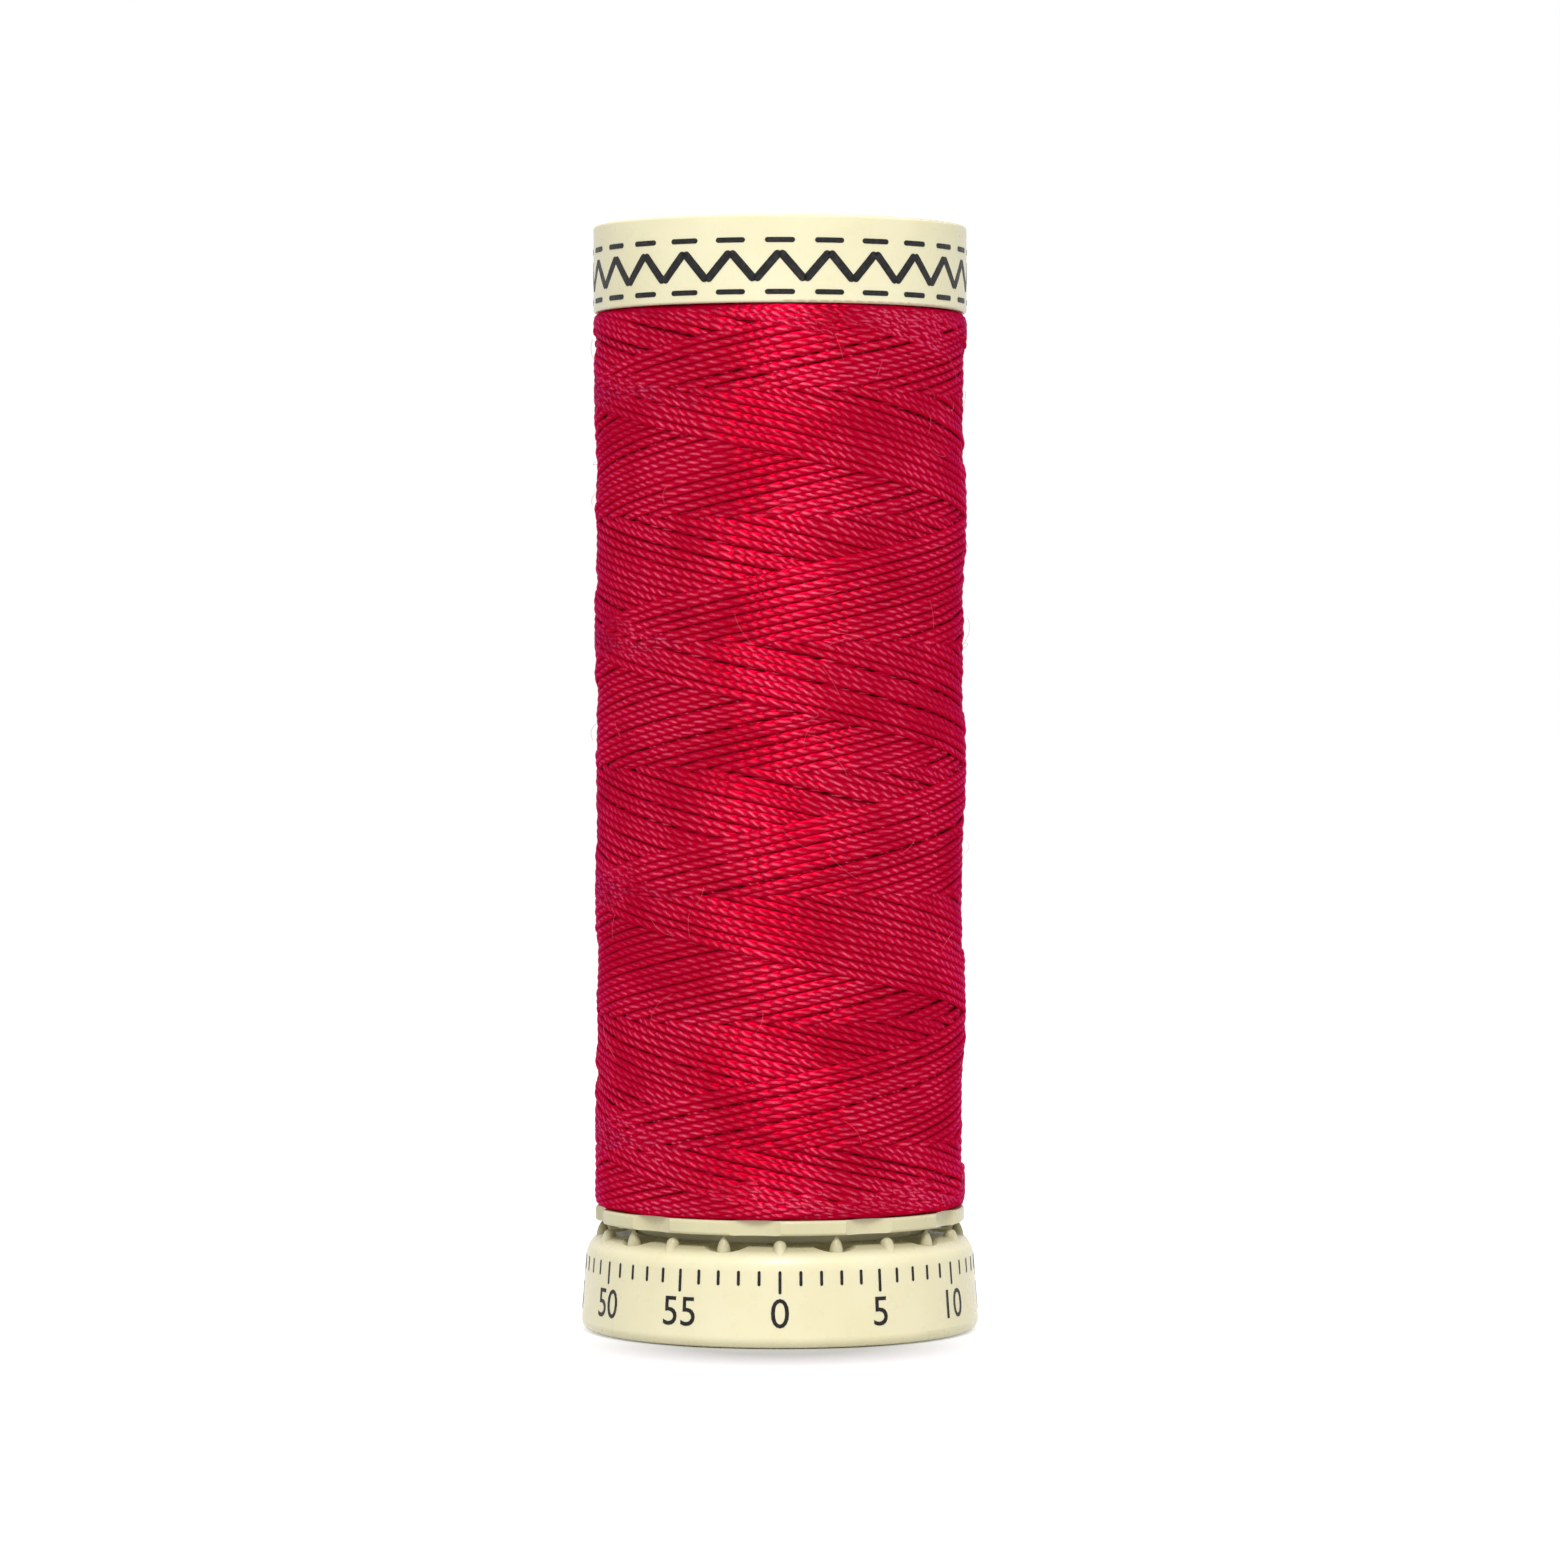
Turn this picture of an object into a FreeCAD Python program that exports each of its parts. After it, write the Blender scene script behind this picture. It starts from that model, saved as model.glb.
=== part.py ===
import FreeCAD, Part
import math
import os

from FreeCAD import Rotation, Vector

# A snap spool of sewing thread that stands on its foot. Sizes are in millimetres. The axis of the spool is Z, the
# foot's rim stands on Z = 0, and the front of the spool faces -Y.

# Whole spool
HEIGHT = 57.0
PIN_BORE_RADIUS = 3.5  # the hole for a machine's spool pin, at both ends
PIN_BORE_EDGE = 0.2

# Thread lock, between the foot and the spool
LOCK_TRAVEL = 1.6  # how far the spool lifts off its foot
RUNNING_GAP = 0.05  # radial gap between the foot's sleeve and the barrel
SHUT_GAP = 0.06  # gap between faces that meet when the lock is shut or fully open
KEY_WIDTH = 1.2
KEY_INSET = 0.6  # how far a key stands out of the barrel's bore
KEY_SIDE_GAP = 0.1
KEY_COUNT = 4

# Barrel
BARREL_RADIUS = 7.4
BARREL_WALL = 0.9
LOWER_FLANGE_RADIUS = 9.56
LOWER_FLANGE_UNDERSIDE = 5.63
LOWER_FLANGE_THICKNESS = 0.76
FLANGE_EDGE = 0.16
NOTCH_COUNT = 10
NOTCH_HALF_WIDTH = 1.5
NOTCH_DEPTH = 0.4
NOTCH_TURN = -7.7  # degrees from the front to the nearest notch
UPPER_FLANGE_RADIUS = 8.65
UPPER_FLANGE_THICKNESS = 0.9

# Head cap and its label
HEAD_RADIUS = 9.65
HEAD_HEIGHT = 4.43
HEAD_EDGE = 0.13
HEAD_SKIRT_WALL = 1.3
LABEL_RECESS_RADIUS = 8.75
LABEL_RECESS_DEPTH = 0.6
DECK_THICKNESS = 0.9
COLLAR_WALL = 0.9
COLLAR_DEPTH = 1.5
SPIGOT_WALL = 0.8
SPIGOT_DEPTH = 1.6  # how far the spigot goes down into the barrel's bore
CAP_RIB_COUNT = 8
CAP_RIB_THICKNESS = 0.7
LABEL_THICKNESS = 0.12
LABEL_MARGIN = 0.15
LABEL_HOLE_RADIUS = 3.9

# Foot
FOOT_RADIUS = 10.33
FOOT_HEIGHT = 4.97  # up to the land that the teeth stand on
FOOT_CROWN = 0.13  # how far the land rises from the shoulder to the barrel
FOOT_DRAFT = 4.4  # degrees
FOOT_EDGE = 0.55
FOOT_SHOULDER = 1.2
FOOT_CAVITY_GAP = 0.2  # between the barrel and the foot's inner wall
FOOT_INNER_WALL = 0.6
FOOT_RIM_WIDTH = 0.6
FOOT_GROOVE_ROOF = 1.0  # thickness of the land over the groove in the foot's underside
FOOT_RECESS_DEPTH = 0.9
FOOT_FLOOR_THICKNESS = 1.0
SLEEVE_WALL = 0.8
SNAP_LIP = 1.3  # height of the barrel's lip that the snap bead holds
BEAD_HEIGHT = 0.8
BEAD_REACH = 0.3
SLEEVE_ABOVE_BEAD = 0.8
SLOT_FLOOR = 0.8  # what is left of the sleeve below its slots

# Teeth of the foot: pointed ones, each in its dish, with rounded ones between them
TOOTH_PAIRS = 10
POINTED_TOOTH_PLACE = 9.18
POINTED_TOOTH_RADIUS = 0.36
POINTED_TOOTH_BASE = 0.28  # depth of its base under the land
POINTED_TOOTH_TIP_RADIUS = 0.05
DISH_PLACE = 9.0
DISH_RADIUS = 1.05
DISH_DEPTH = 0.28
ROUNDED_TOOTH_PLACE = 9.2
ROUNDED_TOOTH_RADIUS = 0.335
ROUNDED_TOOTH_HEIGHT = 0.42  # above the land
ROUNDED_TOOTH_LEAN = 22.0  # degrees from upright, of the tooth's outward side
TOOTH_ROOT = 0.8  # how deep a tooth is rooted under the land

# Thread
PACK_RADIUS = 9.5  # over the outer layer
PACK_CORNER = 0.45
THREAD_DIAMETER = 0.36
THREAD_TURNS = 24
THREAD_EDGE_MARGIN = 0.8  # from a flange to the middle of the first and last turns
THREAD_CLEARANCE = 0.02  # between the outer layer and what it lies on
THREAD_BEND = 0.6  # where an end turns in and is tucked into the pack
POCKET_CLEARANCE = 0.05
LEAST_THREAD_GAP = 0.4

# What follows from them
BORE_RADIUS = BARREL_RADIUS - BARREL_WALL
WOUND_BOTTOM = LOWER_FLANGE_UNDERSIDE + LOWER_FLANGE_THICKNESS
WOUND_TOP = HEIGHT - HEAD_HEIGHT
BARREL_TOP = WOUND_TOP + UPPER_FLANGE_THICKNESS
FOOT_CAVITY_RADIUS = BARREL_RADIUS + FOOT_CAVITY_GAP
FOOT_FLOOR_TOP = FOOT_RECESS_DEPTH + FOOT_FLOOR_THICKNESS
BARREL_BOTTOM = FOOT_FLOOR_TOP + SHUT_GAP
SLEEVE_RADIUS = BORE_RADIUS - RUNNING_GAP
SLEEVE_INNER_RADIUS = SLEEVE_RADIUS - SLEEVE_WALL
BEAD_RADIUS = SLEEVE_RADIUS + BEAD_REACH
GROOVE_RADIUS = BEAD_RADIUS + RUNNING_GAP
GROOVE_BOTTOM = BARREL_BOTTOM + SNAP_LIP
BEAD_BOTTOM = GROOVE_BOTTOM + LOCK_TRAVEL + SHUT_GAP
BEAD_TOP = BEAD_BOTTOM + BEAD_HEIGHT
GROOVE_TOP = BEAD_TOP + SHUT_GAP
SLEEVE_TOP = BEAD_TOP + SLEEVE_ABOVE_BEAD
SLOT_BOTTOM = FOOT_FLOOR_TOP + SLOT_FLOOR
KEY_BOTTOM = SLOT_BOTTOM + SHUT_GAP
KEY_TOP = SLEEVE_TOP + LOCK_TRAVEL
DECK_TOP = HEIGHT - LABEL_RECESS_DEPTH
DECK_UNDERSIDE = DECK_TOP - DECK_THICKNESS
THREAD_RADIUS = THREAD_DIAMETER / 2
TURN_RADIUS = PACK_RADIUS - THREAD_RADIUS
CORE_RADIUS = TURN_RADIUS - THREAD_RADIUS - THREAD_CLEARANCE
TURNS_BOTTOM = WOUND_BOTTOM + THREAD_EDGE_MARGIN
TURNS_TOP = WOUND_TOP - THREAD_EDGE_MARGIN
FRONT = -90.0  # degrees from +X, where a rounded tooth faces the front


def rounded_outline(corners):
    """Closed wire in the XZ plane through (radius, z, rounding) corners. A rounding of 0 is a sharp corner."""
    points = [Vector(radius, 0, z) for radius, z, rounding in corners]
    starts = []
    middles = []
    ends = []
    for i, point in enumerate(points):
        rounding = corners[i][2]
        before = (points[i - 1] - point).normalize()
        after = (points[(i + 1) % len(points)] - point).normalize()
        half_angle = before.getAngle(after) / 2
        reach = rounding / math.tan(half_angle)
        inwards = (before + after).normalize()
        starts.append(point + before * reach)
        middles.append(point + inwards * (rounding / math.sin(half_angle) - rounding))
        ends.append(point + after * reach)
    edges = []
    for i in range(len(points)):
        if corners[i][2] > 0:
            edges.append(Part.Arc(starts[i], middles[i], ends[i]).toShape())
        edges.append(Part.LineSegment(ends[i], starts[(i + 1) % len(points)]).toShape())
    return Part.Wire(edges)


def turned(corners):
    """Solid of revolution about Z."""
    face = Part.Face(rounded_outline(corners))
    return face.revolve(Vector(0, 0, 0), Vector(0, 0, 1), 360)


def around(shape, count, first):
    """Copies of a shape made on the +X side, evenly spaced about Z from the angle first."""
    copies = []
    for i in range(count):
        copy = shape.copy()
        copy.rotate(Vector(0, 0, 0), Vector(0, 0, 1), first + i * 360 / count)
        copies.append(copy)
    return copies


def bar(radius_from, radius_to, width, bottom, top):
    """Box on the +X side that is centred on the XZ plane."""
    return Part.makeBox(radius_to - radius_from, width, top - bottom, Vector(radius_from, -width / 2, bottom))


def make_barrel():
    barrel = turned(
        [
            (BORE_RADIUS, BARREL_BOTTOM, 0),
            (BARREL_RADIUS, BARREL_BOTTOM, 0),
            (BARREL_RADIUS, LOWER_FLANGE_UNDERSIDE, 0),
            (LOWER_FLANGE_RADIUS, LOWER_FLANGE_UNDERSIDE, FLANGE_EDGE),
            (LOWER_FLANGE_RADIUS, WOUND_BOTTOM, FLANGE_EDGE),
            (BARREL_RADIUS, WOUND_BOTTOM, 0),
            (BARREL_RADIUS, WOUND_TOP, 0),
            (UPPER_FLANGE_RADIUS, WOUND_TOP, 0),
            (UPPER_FLANGE_RADIUS, BARREL_TOP, 0),
            (BORE_RADIUS, BARREL_TOP, 0),
            (BORE_RADIUS, GROOVE_TOP, 0),
            (GROOVE_RADIUS, GROOVE_TOP, 0),
            (GROOVE_RADIUS, GROOVE_BOTTOM, 0),
            (BORE_RADIUS, GROOVE_BOTTOM, 0),
        ]
    )
    key_outer = (GROOVE_RADIUS + BARREL_RADIUS) / 2
    key = bar(BORE_RADIUS - KEY_INSET, key_outer, KEY_WIDTH, KEY_BOTTOM, KEY_TOP)
    barrel = barrel.fuse(around(key, KEY_COUNT, FRONT))
    return barrel.cut(around(flange_notch(), NOTCH_COUNT, FRONT + NOTCH_TURN))


def flange_notch():
    """Round notch in the lower flange's edge, through which the thread's end goes down to the teeth."""
    radius = (NOTCH_HALF_WIDTH**2 + NOTCH_DEPTH**2) / (2 * NOTCH_DEPTH)
    place = Vector(LOWER_FLANGE_RADIUS - NOTCH_DEPTH + radius, 0, LOWER_FLANGE_UNDERSIDE - SHUT_GAP)
    return Part.makeCylinder(radius, LOWER_FLANGE_THICKNESS + 2 * SHUT_GAP, place)


def make_head_cap():
    skirt_inner = HEAD_RADIUS - HEAD_SKIRT_WALL
    spigot_bottom = WOUND_TOP - SPIGOT_DEPTH
    spigot_inner = BORE_RADIUS - SPIGOT_WALL
    collar_radius = PIN_BORE_RADIUS + COLLAR_WALL
    collar_bottom = DECK_UNDERSIDE - COLLAR_DEPTH
    cap = turned(
        [
            (PIN_BORE_RADIUS, DECK_TOP, PIN_BORE_EDGE),
            (PIN_BORE_RADIUS, collar_bottom, PIN_BORE_EDGE),
            (collar_radius, collar_bottom, 0),
            (collar_radius, DECK_UNDERSIDE, 0),
            (spigot_inner, DECK_UNDERSIDE, 0),
            (spigot_inner, spigot_bottom, 0),
            (BORE_RADIUS, spigot_bottom, 0),
            (BORE_RADIUS, DECK_UNDERSIDE, 0),
            (skirt_inner, DECK_UNDERSIDE, 0),
            (skirt_inner, BARREL_TOP, 0),
            (UPPER_FLANGE_RADIUS, BARREL_TOP, 0),
            (UPPER_FLANGE_RADIUS, WOUND_TOP, 0),
            (HEAD_RADIUS, WOUND_TOP, HEAD_EDGE),
            (HEAD_RADIUS, HEIGHT, HEAD_EDGE),
            (LABEL_RECESS_RADIUS, HEIGHT, HEAD_EDGE),
            (LABEL_RECESS_RADIUS, DECK_TOP, 0),
        ]
    )
    rib_inner = (spigot_inner + BORE_RADIUS) / 2
    rib_outer = (skirt_inner + HEAD_RADIUS) / 2
    rib = bar(rib_inner, rib_outer, CAP_RIB_THICKNESS, BARREL_TOP, DECK_UNDERSIDE)
    return cap.fuse(around(rib, CAP_RIB_COUNT, FRONT))


def make_head_label():
    label_radius = LABEL_RECESS_RADIUS - LABEL_MARGIN
    label_top = DECK_TOP + LABEL_THICKNESS
    return turned(
        [
            (LABEL_HOLE_RADIUS, DECK_TOP, 0),
            (label_radius, DECK_TOP, 0),
            (label_radius, label_top, 0),
            (LABEL_HOLE_RADIUS, label_top, 0),
        ]
    )


def make_foot():
    shoulder_radius = FOOT_RADIUS - FOOT_HEIGHT * math.tan(math.radians(FOOT_DRAFT))
    rim_inner = FOOT_RADIUS - FOOT_EDGE - FOOT_RIM_WIDTH
    groove_inner = FOOT_CAVITY_RADIUS + FOOT_INNER_WALL
    groove_top = FOOT_HEIGHT - FOOT_GROOVE_ROOF
    foot = turned(
        [
            (rim_inner, 0, 0),
            (FOOT_RADIUS, 0, FOOT_EDGE),
            (shoulder_radius, FOOT_HEIGHT, FOOT_SHOULDER),
            (FOOT_CAVITY_RADIUS, FOOT_HEIGHT + FOOT_CROWN, 0),
            (FOOT_CAVITY_RADIUS, FOOT_FLOOR_TOP, 0),
            (SLEEVE_RADIUS, FOOT_FLOOR_TOP, 0),
            (SLEEVE_RADIUS, BEAD_BOTTOM, 0),
            (BEAD_RADIUS, BEAD_BOTTOM, 0),
            (SLEEVE_RADIUS, BEAD_TOP, 0),
            (SLEEVE_RADIUS, SLEEVE_TOP, 0),
            (SLEEVE_INNER_RADIUS, SLEEVE_TOP, 0),
            (SLEEVE_INNER_RADIUS, FOOT_FLOOR_TOP, 0),
            (PIN_BORE_RADIUS, FOOT_FLOOR_TOP, PIN_BORE_EDGE),
            (PIN_BORE_RADIUS, FOOT_RECESS_DEPTH, PIN_BORE_EDGE),
            (groove_inner, FOOT_RECESS_DEPTH, 0),
            (groove_inner, groove_top, 0),
            (rim_inner, groove_top, 0),
        ]
    )
    slot_width = KEY_WIDTH + 2 * KEY_SIDE_GAP
    slot = bar(PIN_BORE_RADIUS, GROOVE_RADIUS, slot_width, SLOT_BOTTOM, SLEEVE_TOP + SLOT_FLOOR)
    between_teeth = 180 / TOOTH_PAIRS
    foot = foot.cut(around(slot, KEY_COUNT, FRONT))
    foot = foot.cut(around(tooth_dish(), TOOTH_PAIRS, FRONT + between_teeth))
    foot = foot.fuse(around(pointed_tooth(), TOOTH_PAIRS, FRONT + between_teeth))
    return foot.fuse(around(rounded_tooth(), TOOTH_PAIRS, FRONT))


def tooth_dish():
    radius = (DISH_RADIUS**2 + DISH_DEPTH**2) / (2 * DISH_DEPTH)
    return Part.makeSphere(radius, Vector(DISH_PLACE, 0, FOOT_HEIGHT - DISH_DEPTH + radius))


def pointed_tooth():
    """Pointed arch turned about its own upright axis. Its tip reaches the underside of the flange."""
    root = FOOT_HEIGHT - TOOTH_ROOT
    base = FOOT_HEIGHT - POINTED_TOOTH_BASE
    tip = LOWER_FLANGE_UNDERSIDE - SHUT_GAP
    inset = POINTED_TOOTH_RADIUS - POINTED_TOOTH_TIP_RADIUS
    arch_radius = (inset**2 + (tip - base) ** 2) / (2 * inset)
    arch_centre = POINTED_TOOTH_RADIUS - arch_radius
    half_sweep = math.asin((tip - base) / arch_radius) / 2
    arch_middle = Vector(arch_centre + arch_radius * math.cos(half_sweep), 0, base + arch_radius * math.sin(half_sweep))
    arch_start = Vector(POINTED_TOOTH_RADIUS, 0, base)
    arch_end = Vector(POINTED_TOOTH_TIP_RADIUS, 0, tip)
    outline = Part.Wire(
        [
            Part.LineSegment(Vector(0, 0, root), Vector(POINTED_TOOTH_RADIUS, 0, root)).toShape(),
            Part.LineSegment(Vector(POINTED_TOOTH_RADIUS, 0, root), arch_start).toShape(),
            Part.Arc(arch_start, arch_middle, arch_end).toShape(),
            Part.LineSegment(arch_end, Vector(0, 0, tip)).toShape(),
            Part.LineSegment(Vector(0, 0, tip), Vector(0, 0, root)).toShape(),
        ]
    )
    tooth = Part.Face(outline).revolve(Vector(0, 0, 0), Vector(0, 0, 1), 360)
    tooth.translate(Vector(POINTED_TOOTH_PLACE, 0, 0))
    return tooth


def rounded_tooth():
    """Upright pin with a round top, and the same pin leaning outwards from that top, which slopes its outer side."""
    height = ROUNDED_TOOTH_HEIGHT - ROUNDED_TOOTH_RADIUS + TOOTH_ROOT
    top = Vector(ROUNDED_TOOTH_PLACE, 0, FOOT_HEIGHT - TOOTH_ROOT + height)
    lean = math.radians(ROUNDED_TOOTH_LEAN)
    outward_down = Vector(math.sin(lean), 0, -math.cos(lean))
    ball = Part.makeSphere(ROUNDED_TOOTH_RADIUS, top)
    pin = Part.makeCylinder(ROUNDED_TOOTH_RADIUS, height, top, Vector(0, 0, -1))
    slope = Part.makeCylinder(ROUNDED_TOOTH_RADIUS, TOOTH_ROOT, top, outward_down)
    return ball.fuse([pin, slope]).removeSplitter()


def make_thread_pack():
    pack = turned(
        [
            (BARREL_RADIUS, WOUND_BOTTOM, 0),
            (CORE_RADIUS, WOUND_BOTTOM, PACK_CORNER),
            (CORE_RADIUS, WOUND_TOP, PACK_CORNER),
            (BARREL_RADIUS, WOUND_TOP, 0),
        ]
    )
    return pack.cut([end_pocket(0, 1), end_pocket(THREAD_TURNS, -1)])


def turn_frame(turns):
    """Place, direction along the thread and direction out of the pack, after a number of turns from the bottom."""
    angle = math.radians(FRONT) + 2 * math.pi * turns
    rise = (TURNS_TOP - TURNS_BOTTOM) / THREAD_TURNS
    outwards = Vector(math.cos(angle), math.sin(angle), 0)
    sideways = Vector(-math.sin(angle), math.cos(angle), 0)
    place = outwards * TURN_RADIUS + Vector(0, 0, TURNS_BOTTOM + rise * turns)
    along = (sideways * (2 * math.pi * TURN_RADIUS) + Vector(0, 0, rise)).normalize()
    return place, along, outwards


def end_pocket(turns, way):
    """Small pocket in the pack where an end of the thread is tucked in. way is 1 at the start and -1 at the end."""
    place, along, outwards = turn_frame(turns)
    clear = THREAD_RADIUS + POCKET_CLEARANCE
    length = THREAD_BEND + clear + POCKET_CLEARANCE
    depth = THREAD_BEND + THREAD_DIAMETER
    pocket = Part.makeBox(length, 2 * clear, depth + THREAD_DIAMETER, Vector(-THREAD_BEND - clear, -clear, -depth))
    pocket.Placement = FreeCAD.Placement(place, Rotation(along * way, Vector(0, 0, 0), outwards, "ZXY"))
    return pocket


def tucked_end(turns, way):
    """Straight stub out of the pocket's floor and the bend that leads on to the turns."""
    place, along, outwards = turn_frame(turns)
    back = along * way * -1
    centre = place - outwards * THREAD_BEND
    bend_start = centre + back * THREAD_BEND
    bend_middle = centre + (outwards + back).normalize() * THREAD_BEND
    stub = Part.LineSegment(bend_start - outwards * THREAD_DIAMETER, bend_start).toShape()
    return [stub, Part.Arc(bend_start, bend_middle, place).toShape()]


def tangent_arc(start, corner, end):
    """Arc from start to end that touches the lines to the corner between them."""
    middle = (start + end) * 0.5
    to_corner = corner - middle
    half_chord = (end - start).Length / 2
    rise = half_chord * math.tan(math.atan2(to_corner.Length, half_chord) / 2)
    return Part.Arc(start, middle + to_corner.normalize() * rise, end).toShape()


def biarc(turns_from, turns_to):
    """Two arcs that touch each other and the thread's line at both ends."""
    start, start_along, outwards = turn_frame(turns_from)
    end, end_along, outwards = turn_frame(turns_to)
    chord = end - start
    along = start_along + end_along
    a = 2 * (start_along.dot(end_along) - 1)
    b = -2 * chord.dot(along)
    c = chord.dot(chord)
    reach = (-b - math.sqrt(b * b - 4 * a * c)) / (2 * a)
    first_corner = start + start_along * reach
    last_corner = end - end_along * reach
    join = (first_corner + last_corner) * 0.5
    return [tangent_arc(start, first_corner, join), tangent_arc(join, last_corner, end)]


def least_gap(path):
    """Least distance between the thread's surfaces on different turns, measured on points a few degrees apart."""
    steps_a_turn = 48
    points = path.discretize(Number=steps_a_turn * THREAD_TURNS)
    least = min(
        (points[i] - points[j]).Length
        for i in range(len(points))
        for j in range(i + steps_a_turn // 2, min(i + 2 * steps_a_turn, len(points)))
    )
    return least - THREAD_DIAMETER


def make_thread_turns():
    edges = tucked_end(0, 1)
    for quarter in range(4 * THREAD_TURNS):
        edges += biarc(quarter / 4, (quarter + 1) / 4)
    stub, bend = tucked_end(THREAD_TURNS, -1)
    edges += [bend, stub]
    path = Part.Wire(Part.__sortEdges__(edges))
    place, along, outwards = turn_frame(0)
    start = place - along * THREAD_BEND - outwards * (THREAD_BEND + THREAD_DIAMETER)
    section = Part.Wire([Part.Circle(start, outwards, THREAD_RADIUS).toShape()])
    thread = path.makePipeShell([section], True, False)
    gap = least_gap(path)
    print(f"thread path {path.Length:.1f} mm, volume over section times length "
          f"{thread.Volume / (math.pi * THREAD_RADIUS**2 * path.Length):.4f}")
    print(f"least gap of the thread to itself {gap:.2f} mm, over {LEAST_THREAD_GAP} mm: {gap > LEAST_THREAD_GAP}")
    return thread


NODES = {
    "barrel": make_barrel,
    "head_cap": make_head_cap,
    "head_label": make_head_label,
    "foot": make_foot,
    "thread_pack": make_thread_pack,
    "thread_turns": make_thread_turns,
}

os.makedirs("parts", exist_ok=True)
for name, make in NODES.items():
    solid = make()
    print(f"{name}: valid {solid.isValid()}, solids {len(solid.Solids)}, volume {solid.Volume:.2f} mm3")
    solid.exportStep(f"parts/{name}.step")
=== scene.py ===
import math

import bmesh
import bpy
import numpy as np
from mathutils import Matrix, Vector
from mathutils.bvhtree import BVHTree


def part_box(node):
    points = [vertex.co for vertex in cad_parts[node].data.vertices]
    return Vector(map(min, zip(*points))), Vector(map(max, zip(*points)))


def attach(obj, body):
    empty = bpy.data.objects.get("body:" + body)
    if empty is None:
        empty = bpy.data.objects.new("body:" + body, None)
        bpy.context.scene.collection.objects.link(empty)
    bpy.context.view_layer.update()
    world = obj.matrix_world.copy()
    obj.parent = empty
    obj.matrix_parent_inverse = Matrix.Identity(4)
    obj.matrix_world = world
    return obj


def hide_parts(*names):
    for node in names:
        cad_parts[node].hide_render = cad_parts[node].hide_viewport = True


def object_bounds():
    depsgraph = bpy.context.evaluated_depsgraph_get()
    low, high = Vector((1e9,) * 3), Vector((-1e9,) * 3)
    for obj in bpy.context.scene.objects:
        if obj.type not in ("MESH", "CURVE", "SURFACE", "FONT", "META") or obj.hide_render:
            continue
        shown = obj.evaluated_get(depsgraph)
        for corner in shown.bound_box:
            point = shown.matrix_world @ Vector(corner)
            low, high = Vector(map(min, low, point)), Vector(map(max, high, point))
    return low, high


# A snap spool of sewing thread on a pale floor. Everything is in metres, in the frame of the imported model:
# the spool's axis is Z, it stands on Z = 0 and its front faces -Y. Angles round the spool count from the
# front, positive towards +X.

MM = 0.001
TURN = 2 * math.pi
RANDOM = np.random.default_rng(57)

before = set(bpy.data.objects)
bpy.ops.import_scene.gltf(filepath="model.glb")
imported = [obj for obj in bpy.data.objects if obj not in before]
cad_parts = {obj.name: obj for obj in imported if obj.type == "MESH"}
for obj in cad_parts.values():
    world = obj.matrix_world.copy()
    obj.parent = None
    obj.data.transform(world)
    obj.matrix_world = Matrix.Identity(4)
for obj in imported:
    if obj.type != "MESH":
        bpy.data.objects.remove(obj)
cad_low, cad_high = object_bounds()

HEAD_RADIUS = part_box("head_cap")[1].x
HEAD_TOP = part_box("head_cap")[1].z
FOOT_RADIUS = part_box("foot")[1].x
PACK_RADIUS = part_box("thread_turns")[1].x
PACK_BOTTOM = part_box("thread_pack")[0].z
PACK_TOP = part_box("thread_pack")[1].z


# Camera

IMAGE_HEIGHT_PX = 1561
FOCAL_PX = 5967
CAMERA_DISTANCE = 309.25 * MM
CAMERA_HEIGHT = 33.8 * MM
CAMERA_TILT = math.radians(1.0)  # downwards
SENSOR_WIDTH = 36
NEAREST_SEEN = 0.01
FARTHEST_SEEN = 10


def make_camera():
    data = bpy.data.cameras.new("camera")
    data.sensor_width = SENSOR_WIDTH
    data.lens = SENSOR_WIDTH * FOCAL_PX / IMAGE_HEIGHT_PX
    data.clip_start = NEAREST_SEEN
    data.clip_end = FARTHEST_SEEN
    camera = bpy.data.objects.new("camera", data)
    camera.location = (0, -CAMERA_DISTANCE, CAMERA_HEIGHT)
    camera.rotation_euler = (math.pi / 2 - CAMERA_TILT, 0, 0)
    bpy.context.scene.collection.objects.link(camera)
    bpy.context.scene.camera = camera


# Helpers for meshes

def new_object(name, mesh):
    obj = bpy.data.objects.new(name, mesh)
    bpy.context.scene.collection.objects.link(obj)
    return obj


def new_mesh(name, vertices, faces, smooth=True):
    """Mesh from an array of points and an array of quads, or a list of faces of any size."""
    mesh = bpy.data.meshes.new(name)
    vertices = np.asarray(vertices, np.float32)
    sizes = np.array([len(face) for face in faces], np.int32)
    corners = np.concatenate([np.asarray(face, np.int32) for face in faces])
    mesh.vertices.add(len(vertices))
    mesh.vertices.foreach_set("co", vertices.ravel())
    mesh.loops.add(len(corners))
    mesh.loops.foreach_set("vertex_index", corners)
    mesh.polygons.add(len(sizes))
    mesh.polygons.foreach_set("loop_start", np.concatenate([[0], np.cumsum(sizes)[:-1]]).astype(np.int32))
    mesh.polygons.foreach_set("use_smooth", np.full(len(sizes), smooth))
    mesh.update(calc_edges=True)
    mesh.validate()
    return mesh


def on_spool(radius, angle, height):
    """Point or points at a radius, an angle from the front and a height."""
    return np.stack(np.broadcast_arrays(radius * np.sin(angle), -radius * np.cos(angle), height), -1)


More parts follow.
